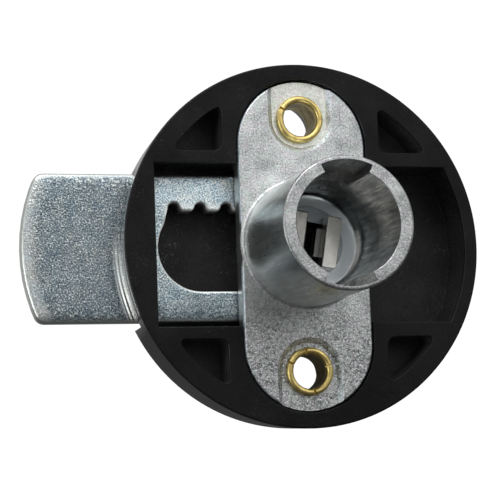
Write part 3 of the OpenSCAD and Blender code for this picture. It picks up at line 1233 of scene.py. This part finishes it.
@dataclass(frozen=True)
class CaseMoulding:
    """The black case: blank, bolt channel, plate seat, core pockets and holes."""

    outer_r: float = 26.0
    height: float = 12.0
    draft: float = 0.4
    front_round: float = 3.0
    rim_round: float = 0.3
    edge_round: float = 0.18
    channel_w: float = 22.4
    channel_r: float = 24.1
    bridge_x: float = 21.5
    bay_x: float = -9.4
    bay_gap: float = 0.35
    floor_z: float = 4.7
    rail_w: float = 2.6
    rail_z: float = 5.1
    rail_round: float = 0.08
    exit_top: float = 8.35
    seat_w: float = 19.2
    seat_l: float = 47.6
    seat_z: float = 8.9
    pocket_x: float = 11.7
    pocket_y: float = 13.3
    pocket_r: float = 23.1
    pocket_inset: float = 2.2
    pocket_corner: float = 1.2
    pocket_z: float = 6.4
    hole_y: float = SCREW_Y
    head_r: float = 4.4
    head_flare: float = 0.3
    head_z: float = 6.5
    flange_seat_r: float = 4.15
    web_z: float = 7.2
    rivet_hole_r: float = 3.0
    pivot_r: float = 2.55
    pivot_z: float = 2.5

    def blank(self) -> bpy.types.Object:
        """Spins the outside: drafted wall, rounded front edge and rounded rim.

        Returns:
            The blank.
        """
        front, rim = self.front_round, self.rim_round
        profile = [(0, 0), *arc((self.outer_r - self.draft - front, front), front, -90, 0, 10)]
        profile += arc((self.outer_r - rim, self.height - rim), rim, 0, 90, 4)
        return spun("case_moulding", profile + [(0, self.height)], steps=180)

    def pit_tool(self, outline: Sequence[Point], floor_z: float) -> bpy.types.Object:
        """Tool body that sinks an outline into the door side down to a level."""
        return pulled("tool", outline, sunk(floor_z, self.height, self.edge_round))

    def channel_outline(self, half: float, bay_half: float = 0.0) -> list[Point]:
        """Outline of the bolt channel: square at the bridge, round at the far side.

        Args:
            half: Half the channel's width.
            bay_half: Half the width of the wider bay beside the bridge, if there is one.

        Returns:
            The closed outline.
        """
        near = [(-self.bridge_x, half)]
        if bay_half:
            near = [(self.bay_x, half), (self.bay_x, bay_half), (-self.bridge_x, bay_half)]
        turn = math.degrees(math.asin(half / self.channel_r))
        return near + mirrored(near) + arc((0, 0), self.channel_r, -turn, turn, 24)

    def channel_tools(self) -> list[bpy.types.Object]:
        """Tool bodies for the channel and for the exit under the bridge.

        Returns:
            The tools.
        """
        half = self.channel_w / 2
        rails = sunk(self.floor_z, self.rail_z, self.rail_round, CLEAR / 2)
        way_out = box_outline(-self.outer_r - CLEAR, -self.bridge_x + LAP, -half, half)
        return [
            self.pit_tool(self.channel_outline(half, half + self.bay_gap), self.rail_z),
            pulled("tool", self.channel_outline(half - self.rail_w), rails),
            pulled("tool", way_out, straight(-CLEAR, self.exit_top)),
        ]

    def pocket_tool(self, sx: int, sy: int) -> bpy.types.Object:
        """Tool body for the core pocket in one quarter.

        Args:
            sx: Sign of X in that quarter.
            sy: Sign of Y in that quarter.

        Returns:
            The tool.
        """
        low = math.degrees(math.asin(self.pocket_y / self.pocket_r))
        high = math.degrees(math.acos(self.pocket_x / self.pocket_r))
        inset = math.degrees(self.pocket_inset / self.pocket_r)
        rim = arc((0, 0), self.pocket_r, low + inset, high - inset, 8)
        outline = [(self.pocket_x, self.pocket_y), polar(self.pocket_r, low), *rim,
                   polar(self.pocket_r, high)]
        outline = round_corners(outline, self.pocket_corner)
        return self.pit_tool([(sx * x, sy * y) for x, y in outline], self.pocket_z)

    def hole_tools(self) -> list[bpy.types.Object]:
        """Tool bodies for the screw-head holes, the rivet holes and the driver's bearing.

        Returns:
            The tools.
        """
        hole = stepped(
            -CLEAR, (self.head_r, self.head_z), (self.flange_seat_r, self.web_z),
            (self.rivet_hole_r, self.height),
        )
        mouth_r = self.head_r + self.head_flare
        hole[1:2] = [(mouth_r, -CLEAR), (mouth_r, 0), (self.head_r, self.head_flare)]
        bearing = stepped(self.pivot_z, (self.pivot_r, self.floor_z + CLEAR))
        tools = [spun("tool", hole, (0, y), 64) for y in (-self.hole_y, self.hole_y)]
        return tools + [spun("tool", bearing, steps=64)]

    def build(self) -> bpy.types.Object:
        """Models and dresses the case.

        Returns:
            The finished piece.
        """
        case = self.blank()
        seat = stadium(self.seat_w, self.seat_l)
        work(case, Cut.AWAY, *self.channel_tools())
        work(case, Cut.AWAY, self.pit_tool(seat, self.seat_z))
        work(case, Cut.AWAY, *(self.pocket_tool(sx, sy) for sx in (-1, 1) for sy in (-1, 1)))
        work(case, Cut.AWAY, *self.hole_tools())
        return dressed(case, MouldedBlack().material(), Body.LOCK, "case")


@dataclass(frozen=True)
class CylinderPlate:
    """The cast plate with the cylinder tube, its bore, end grooves and screw recesses."""

    width: float = 18.6
    length: float = 47.0
    under_z: float = 8.9
    top_z: float = 12.0
    edge_round: float = 0.25
    under_round: float = 0.12
    tube_r: float = 9.0
    tube_top: float = 32.0
    tube_chamfer: float = 0.35
    fillet: float = 0.5
    bore_r: float = 7.2
    bore_flare: float = 0.12
    core_z: Pair = (16.5, 17.1)
    chamber_r: float = 7.0
    floor_z: float = 12.6
    dish: tuple[Point, ...] = (
        (1.75, 0.0), (1.5, 0.02), (1.25, 0.07), (0.7, 0.24), (0.3, 0.4), (0.12, 0.55),
        (0.03, 0.85), (0.0, 1.4),
    )
    journal_r: float = 5.25
    groove_r: float = 8.45
    groove_half: float = 25.0
    groove_l: float = 9.0
    recess_r: float = 4.1
    recess_slope: tuple[Point, ...] = (
        (-0.15, 11.2), (0.03, 11.28), (0.5, 11.85), (0.67, 12.0), (0.67, 13.0)
    )
    hole_y: float = SCREW_Y
    hole_r: float = 3.0
    guide_y: float = 8.4
    guide_w: float = 1.5
    guide_z: float = 8.3
    guide_inset: float = 1.0
    guide_in: float = 0.3
    tube_in: float = 0.6
    score_x: tuple[float, ...] = (5.15, 5.85)
    score_y: Pair = (11.5, 22.0)
    score_w: float = 0.14
    score_z: float = 11.94

    def plate(self) -> bpy.types.Object:
        """Pulls the plate with its rounded edges, and welds the guide ribs under it.

        Returns:
            The plate.
        """
        stages = brim(self.under_z, self.under_round, False, upper=False)
        stages += brim(self.top_z, self.edge_round, False)
        plate = pulled("plate_casting", stadium(self.width, self.length, 38), stages)
        reach, half = self.width / 2 - self.guide_inset, self.guide_w / 2
        ribs = straight(self.guide_z, self.under_z + self.guide_in)
        for y in (-self.guide_y, self.guide_y):
            rib = box_outline(-reach, reach, y - half, y + half)
            work(plate, Cut.WELD, pulled("tool", rib, ribs))
        return plate

    def tube(self) -> bpy.types.Object:
        """Spins the tube with its foot fillet and end chamfer.

        Returns:
            The tube, closed at both ends.
        """
        foot_r, chamfer = self.tube_r + self.fillet, self.tube_chamfer
        low = self.under_z + self.tube_in
        profile = [(0, low), (foot_r, low)]
        profile += arc((foot_r, self.top_z + self.fillet), self.fillet, -90, -180, 6)
        profile += arc((self.tube_r - chamfer, self.tube_top - chamfer), chamfer, 0, 90, 4)
        return spun("tool", profile + [(0, self.tube_top)], steps=128)

    def bore_tools(self) -> list[bpy.types.Object]:
        """Tool bodies for the bore, its chamber, the journal hole and the end grooves.

        Returns:
            The tools.
        """
        low, top, flare = self.under_z - 2 * CLEAR, self.tube_top + CLEAR, self.bore_flare
        bore = [
            (0, low), (self.journal_r, low),
            *((self.chamber_r - inset, self.floor_z + rise) for inset, rise in self.dish),
            (self.chamber_r, self.core_z[0]), (self.bore_r, self.core_z[1]),
            (self.bore_r, self.tube_top - flare), (self.bore_r + flare, self.tube_top),
            (self.bore_r + flare, top), (0, top),
        ]
        tools = [spun("tool", bore, steps=128)]
        for middle in (90, 270):
            first, last = middle - self.groove_half, middle + self.groove_half
            sector = arc((0, 0), self.groove_r, first, last, 16)
            sector += arc((0, 0), self.bore_r - CLEAR, last, first, 12)
            tools.append(pulled("tool", sector, straight(self.tube_top - self.groove_l, top)))
        return tools

    def recess_tools(self) -> list[bpy.types.Object]:
        """Tool bodies for the U-shaped recesses, the rivet holes and the score lines.

        Returns:
            The tools.
        """
        tools = []
        above = self.top_z + CLEAR
        for side, start in ((-1, 0), (1, 180)):
            end, reach = side * (self.length / 2 + CLEAR), side * self.recess_r
            bend = arc((0, side * self.hole_y), self.recess_r, start, start + 180, 32)
            recess = bend + [(reach, end), (-reach, end)]
            tools.append(pulled("tool", recess, self.recess_slope))
            hole = ring((0, side * self.hole_y), self.hole_r, 64)
            tools.append(pulled("tool", hole, straight(self.under_z - CLEAR, above)))
        for x in self.score_x:
            line = box_outline(x - self.score_w / 2, x + self.score_w / 2, *self.score_y)
            tools.append(pulled("tool", line, straight(self.score_z, above)))
        return tools

    def build(self) -> bpy.types.Object:
        """Models and dresses the plate and tube.

        Returns:
            The finished piece.
        """
        plate = self.plate()
        work(plate, Cut.WELD, self.tube())
        work(plate, Cut.AWAY, *self.recess_tools())
        work(plate, Cut.AWAY, *self.bore_tools())
        return dressed(plate, CastZinc().material(), Body.LOCK, "cylinder_plate")


@dataclass(frozen=True)
class TubularRivet:
    """A brass tubular rivet with a front flange and a rolled lip that split as it was rolled."""

    name: str
    node: str
    y: float
    nicks: tuple[float, ...]
    bore_r: float = 2.45
    wall: float = 0.5
    flange_r: float = 4.1
    flange_z: float = 6.6
    flange_t: float = 0.6
    seat_z: float = 11.2
    lip_r: float = 0.475
    lip_start: float = -75.0
    nick_half_w: Pair = (0.105, 0.21)
    nick_reach: float = 0.4

    def blank(self) -> bpy.types.Object:
        """Spins the flange, the shank and the rolled lip in one profile.

        Returns:
            The blank.
        """
        shank_r, flange_top = self.bore_r + self.wall, self.flange_z + self.flange_t
        middle = (self.bore_r + self.lip_r, self.seat_z + self.lip_r)
        profile = [
            (self.bore_r, self.flange_z), (self.flange_r, self.flange_z),
            (self.flange_r, flange_top), (shank_r, flange_top), (shank_r, self.seat_z + LAP),
            *arc(middle, self.lip_r, self.lip_start, 180, 16),
        ]
        return spun(self.name, profile, (0, self.y))

    def nick_tool(self, angle: float) -> bpy.types.Object:
        """Tool body for a split in the lip: narrow inside, wider outside.

        Args:
            angle: Direction of the split, from the X axis.

        Returns:
            The tool.
        """
        near = self.bore_r - self.nick_reach
        far = self.bore_r + 2 * self.lip_r + self.nick_reach
        narrow, wide = self.nick_half_w
        wedge = turned_points([(near, -narrow), (far, -wide), (far, wide), (near, narrow)], angle)
        outline = [(x, y + self.y) for x, y in wedge]
        foot = self.seat_z + self.lip_r / 2
        return pulled("tool", outline, straight(foot, self.seat_z + 2 * CLEAR))

    def build(self, finish: bpy.types.Material) -> bpy.types.Object:
        """Models and dresses one rivet.

        Args:
            finish: The brass, which both rivets share.

        Returns:
            The finished piece.
        """
        rivet = work(self.blank(), Cut.AWAY, *(self.nick_tool(angle) for angle in self.nicks))
        return dressed(rivet, finish, Body.LOCK, self.node)


@dataclass(frozen=True)
class Deadbolt:
    """The flat bolt: rounded nose and tail, soft edges, window with its rack."""

    width: float = 21.0
    under_z: float = 5.15
    top_z: float = 8.15
    travel: float = TRAVEL
    nose_r: float = 25.5
    tail_r: float = 23.2
    corner_r: float = 1.5
    least_turn: float = 35.0
    edge_r: float = 0.6
    crown: tuple[Point, ...] = (
        (0.0, 0.65), (0.06, 0.46), (0.2, 0.31), (0.42, 0.2), (0.8, 0.11), (1.4, 0.05),
        (2.1, 0.015), (2.8, 0.0),
    )
    window_r: float = 6.2
    rack_y: float = 5.25
    notch_y: float = 5.6
    notch_r: float = 0.8
    notch_mouth: float = 1.15
    pitch: float = 3.8397
    notches: int = 6
    land_round: float = 0.45
    window_round: float = 0.32
    window_edge_w: float = 0.4

    def outline(self, inset: float) -> list[Point]:
        """Outline of the bolt, moved in from its sides.

        Args:
            inset: Distance from the full outline.

        Returns:
            Tail arc and nose arc with rounded corners between them.
        """
        half = self.width / 2 - inset
        points: list[Point] = []
        for radius, middle in ((self.tail_r - inset, 0), (self.nose_r - inset, 180)):
            turn = math.degrees(math.asin(half / radius))
            points += arc((-self.travel, 0), radius, middle - turn, middle + turn, 10)
        return round_corners(points, max(self.edge_r, self.corner_r - inset / 2), self.least_turn)

    def blank(self) -> bpy.types.Object:
        """Pulls the bolt with a rounded lower edge and a gently domed upper one.

        Returns:
            The bar, without its window.
        """
        stages = brim(self.under_z, self.edge_r, False, upper=False, steps=5)[:-1]
        stages += [(-inset, self.top_z - drop) for inset, drop in self.crown]
        return lofted("bolt_bar", [(self.outline(-growth), level) for growth, level in stages])

    def window_outline(self) -> list[Point]:
        """Outline of the window: two arcs, a smooth lower edge and the rack's notches.

        Returns:
            The closed outline.
        """
        turn = math.degrees(math.asin(self.rack_y / self.window_r))
        right = math.sqrt(self.window_r**2 - self.rack_y**2)
        dip = math.degrees(math.asin((self.notch_y - self.rack_y) / self.notch_mouth)) / 2
        outline = arc((0, 0), self.window_r, -90, turn, 20)
        for i in reversed(range(self.notches)):
            x = (i - 1) * self.pitch - self.travel
            if x + self.notch_mouth > right:
                continue
            outline.append((x + self.notch_mouth, self.rack_y))
            last = 180 - dip if i else 180
            outline += arc((x, self.notch_y), self.notch_r, dip, last, 10)
            if i:
                outline.append((x - self.notch_mouth, self.rack_y))
        foot = self.window_r - self.pitch - self.notch_r
        lean = math.degrees(math.atan2(foot, self.notch_y))
        return outline + arc((-self.travel, 0), self.window_r, 180 - 2 * lean, 270, 26)

    def build(self) -> bpy.types.Object:
        """Models and dresses the bolt.

        Returns:
            The finished piece.
        """
        outline = round_corners(self.window_outline(), self.land_round, self.least_turn, 4)
        edge, width = self.window_round, self.window_edge_w
        window = [
            (edge, self.under_z - CLEAR), *brim(self.under_z, edge, True, upper=False, steps=4),
            *brim(self.top_z, edge, True, steps=5, width=width), (width, self.top_z + CLEAR),
        ]
        bolt = work(self.blank(), Cut.AWAY, pulled("tool", outline, window))
        return dressed(bolt, ZincPlating().material(), Body.BOLT, "deadbolt")


@dataclass(frozen=True)
class DrivePinion:
    """The driver: lower journal, toothed wheel, shroud, upper journal and slotted jaws."""

    teeth: int = 9
    root_r: float = 4.9
    tip_r: float = 6.05
    tooth_tip_r: float = 0.45
    tooth_foot: float = 0.95
    foot_gap: float = 3.0
    tip_turn: Pair = (5.0, 175.0)
    wheel_round: float = 0.1
    wheel_in: float = 0.1
    core_r: float = 4.6
    start_turn: float = 147.928
    pivot_r: float = 2.5
    pivot_z: float = 2.7
    wheel_z: float = 4.8
    shroud_z: float = 8.3
    shroud_r: float = 6.35
    shroud_t: float = 0.5
    journal_r: float = 5.2
    floor_z: float = 12.6
    jaw_top: float = 16.7
    jaw_w: float = 7.2
    jaw_l: float = 7.3
    jaw_turn: float = -10.0
    jaw_corner: float = 0.5
    jaw_round: float = 0.22
    jaw_in: float = 0.2
    slot_w: float = 2.85
    slot_half: float = 3.1
    slot_z: float = 8.7
    slot_round: float = 0.2
    slot_out: float = 8.0
    slot_steps: Pair = (0.3, 0.5)
    ledge_w: float = 0.7
    ledge_half: float = 2.0
    ledge_z: float = 14.3

    def wheel_outline(self) -> list[Point]:
        """Outline of the toothed wheel at the rest pose.

        Returns:
            The closed outline.
        """
        step = 360 / self.teeth
        foot = math.degrees(math.asin(self.tooth_foot / self.root_r))
        first, last = 90 + foot + self.foot_gap, 90 + step - foot - self.foot_gap
        tip = arc((0, self.tip_r - self.tooth_tip_r), self.tooth_tip_r, *self.tip_turn, 8)
        tooth = [polar(self.root_r, 90 - foot), *tip, polar(self.root_r, 90 + foot)]
        tooth += arc((0, 0), self.root_r, first, last, 3)
        turns = [self.start_turn + i * step for i in range(self.teeth)]
        return [point for turn in turns for point in turned_points(tooth, turn)]

    def slot_outline(self, half: float) -> list[Point]:
        """Outline of the slot below its ledge, which stands in from the right side.

        Args:
            half: Half the slot's length.

        Returns:
            The closed outline.
        """
        side = self.slot_w / 2
        right = [(side, half), (side, self.ledge_half), (side - self.ledge_w, self.ledge_half)]
        return [(-side, -half), *mirrored(right)[::-1], *right[::-1], (-side, half)]

    def build(self) -> bpy.types.Object:
        """Models and dresses the driver.

        Returns:
            The finished piece.
        """
        core = stepped(
            self.pivot_z, (self.pivot_r, self.wheel_z + LAP), (self.core_r, self.shroud_z),
            (self.shroud_r, self.shroud_z + self.shroud_t), (self.journal_r, self.floor_z),
        )
        driver = spun("driver_casting", core)
        wheel = brim(self.wheel_z, self.wheel_round, False, upper=False)
        wheel.append((0.0, self.shroud_z + self.wheel_in))
        work(driver, Cut.WELD, pulled("tool", self.wheel_outline(), wheel))
        half_w, half_l, side = self.jaw_w / 2, self.jaw_l / 2, self.slot_w / 2
        block = turned_points(box_outline(-half_w, half_w, -half_l, half_l), self.jaw_turn)
        jaws = [(0.0, self.floor_z - self.jaw_in), *brim(self.jaw_top, self.jaw_round, False)]
        outline = round_corners(block, self.jaw_corner, steps=6)
        work(driver, Cut.WELD, pulled("tool", outline, jaws))
        over_ledge, over_floor = self.slot_steps
        slots = (
            (box_outline(-side, side, -self.slot_out, self.slot_out),
             sunk(self.ledge_z, self.jaw_top, self.slot_round)),
            (self.slot_outline(self.slot_out), straight(self.floor_z, self.ledge_z + over_ledge)),
            (self.slot_outline(self.slot_half), straight(self.slot_z, self.floor_z + over_floor)),
        )
        tools = (pulled("tool", turned_points(shape, self.jaw_turn), way) for shape, way in slots)
        work(driver, Cut.AWAY, *tools)
        return dressed(driver, DullCasting().material(), Body.DRIVER, "drive_pinion")


# Studio


@dataclass(frozen=True)
class SoftBox:
    """A flat studio light, aimed at a point, in mm."""

    name: str
    at: Place
    size: Pair
    watts: float
    aim: Place = (0, 0, 10)

    def place(self) -> None:
        """Adds the light to the scene."""
        bpy.ops.object.light_add(type="AREA", location=[c * MM for c in self.at])
        lamp = bpy.context.object
        lamp.name = self.name
        way = Vector(self.aim) - Vector(self.at)
        lamp.rotation_euler = way.to_track_quat("-Z", "Y").to_euler()
        lamp.data.shape = "RECTANGLE"
        lamp.data.size, lamp.data.size_y = (s * MM for s in self.size)
        lamp.data.energy = self.watts
        LOG.info("%s: %.2f W", self.name, self.watts)


@dataclass(frozen=True)
class Studio:
    """Camera, floor, world and lights. Places and lengths are in mm."""

    camera_at: Place = (-73.849, -34.795, 253.021)
    camera_turn: Place = (8.293, -14.953, -2.148)
    lens: float = 129.6
    sensor: float = 36.0
    nearest: float = 10.0
    floor_size: float = 1800.0
    floor_z: float = -0.02
    paper: Colour = (1, 1, 0.99, 1)
    # Painted shadow: in reflections the floor glows dimmer in front of the lock.
    paper_painted_shadow_by_y: Fade = (-13.0, -8.0, 0.06, 0.4)
    glow: Colour = (1, 1, 1, 1)
    glow_strength: float = 1.05
    sky: tuple[Point, ...] = ((0.0, 0.08), (0.42, 0.2), (0.57, 0.42), (0.75, 0.8), (1.0, 1.0))
    sky_strength: float = 0.95
    boxes: tuple[SoftBox, ...] = (
        SoftBox("key_box", at=(-90, 360, 270), size=(330, 230), watts=0.95),
        SoftBox("top_box", at=(190, 150, 420), size=(220, 220), watts=0.2),
        SoftBox("left_box", at=(-380, -60, 130), size=(160, 160), watts=0.3),
    )

    def camera(self) -> None:
        """Adds the camera at the photograph's viewpoint."""
        bpy.ops.object.camera_add(
            location=[c * MM for c in self.camera_at],
            rotation=[math.radians(a) for a in self.camera_turn],
        )
        camera = bpy.context.object
        camera.name = "door_side_camera"
        camera.data.sensor_width = self.sensor
        camera.data.lens = self.lens
        camera.data.clip_start = self.nearest * MM
        bpy.context.scene.camera = camera

    def floor(self) -> None:
        """Adds the plain floor: white to the camera, and a grey glow in reflections with a painted
        shadow in front.
        """
        bpy.ops.object.select_all(action="DESELECT")
        bpy.ops.mesh.primitive_plane_add(
            size=self.floor_size * MM, location=(0, 0, self.floor_z * MM)
        )
        floor = bpy.context.object
        floor.name = "floor"
        material = bpy.data.materials.new("pale_floor")
        tree = fresh_tree(material)
        place = add_node(tree, "TexCoord").outputs["Object"]
        y = add_node(tree, "SeparateXYZ", Vector=place).outputs["Y"]
        # Painted shadow: in reflections the floor glows dimmer in front of the lock.
        front, back, dim, bright = self.paper_painted_shadow_by_y
        fall = add_node(
            tree, "MapRange", Value=y, From_Min=front * MM, From_Max=back * MM, To_Min=dim,
            To_Max=bright,
        )
        paper = add_node(tree, "Emission", Color=self.paper, Strength=fall.outputs[0])
        glow = add_node(tree, "Emission", Color=self.glow, Strength=self.glow_strength)
        seen = add_node(tree, "LightPath").outputs["Is Camera Ray"]
        mix = add_node(tree, "MixShader")
        for socket, source in zip(mix.inputs, (seen, paper.outputs[0], glow.outputs[0])):
            plug(tree, socket, source)
        add_node(tree, "OutputMaterial", Surface=mix.outputs[0])
        floor.data.materials.append(material)

    def world(self) -> None:
        """Sets a soft room: bright above and behind the lock, darker on the near side."""
        world = bpy.data.worlds.new("soft_room")
        bpy.context.scene.world = world
        tree = fresh_tree(world)
        way = add_node(tree, "TexCoord").outputs["Generated"]
        y = add_node(tree, "SeparateXYZ", Vector=way).outputs["Y"]
        shift = add_node(tree, "MapRange", Value=y, From_Min=-1.0, From_Max=1.0)
        ramp = add_node(tree, "ValToRGB", Fac=shift.outputs[0])
        fill_ramp(ramp, [(place, (grey, grey, grey, 1)) for place, grey in self.sky])
        sky = add_node(tree, "Background", Color=ramp.outputs[0], Strength=self.sky_strength)
        add_node(tree, "OutputWorld", Surface=sky.outputs[0])

    def build(self) -> None:
        """Sets up the whole studio."""
        self.camera()
        self.floor()
        self.world()
        for box in self.boxes:
            box.place()
        view = bpy.context.scene.view_settings
        view.view_transform = "Standard"
        view.look = "None"


def main() -> None:
    """Loads the frame, models every sub-assembly and sets up the studio."""
    logging.basicConfig(level=logging.INFO, format="%(name)s %(message)s")
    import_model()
    bpy.ops.object.select_all(action="DESELECT")
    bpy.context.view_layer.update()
    Studio().build()
    CaseMoulding().build()
    CylinderPlate().build()
    brass = RolledBrass().material()
    for rivet in (
        TubularRivet("rivet_upper", "upper_rivet", y=SCREW_Y, nicks=(151.0,)),
        TubularRivet("rivet_lower", "lower_rivet", y=-SCREW_Y, nicks=(157.0, 101.0, 15.0, -80.0)),
    ):
        rivet.build(brass)
    Deadbolt().build()
    DrivePinion().build()


if __name__ == "__main__":
    main()
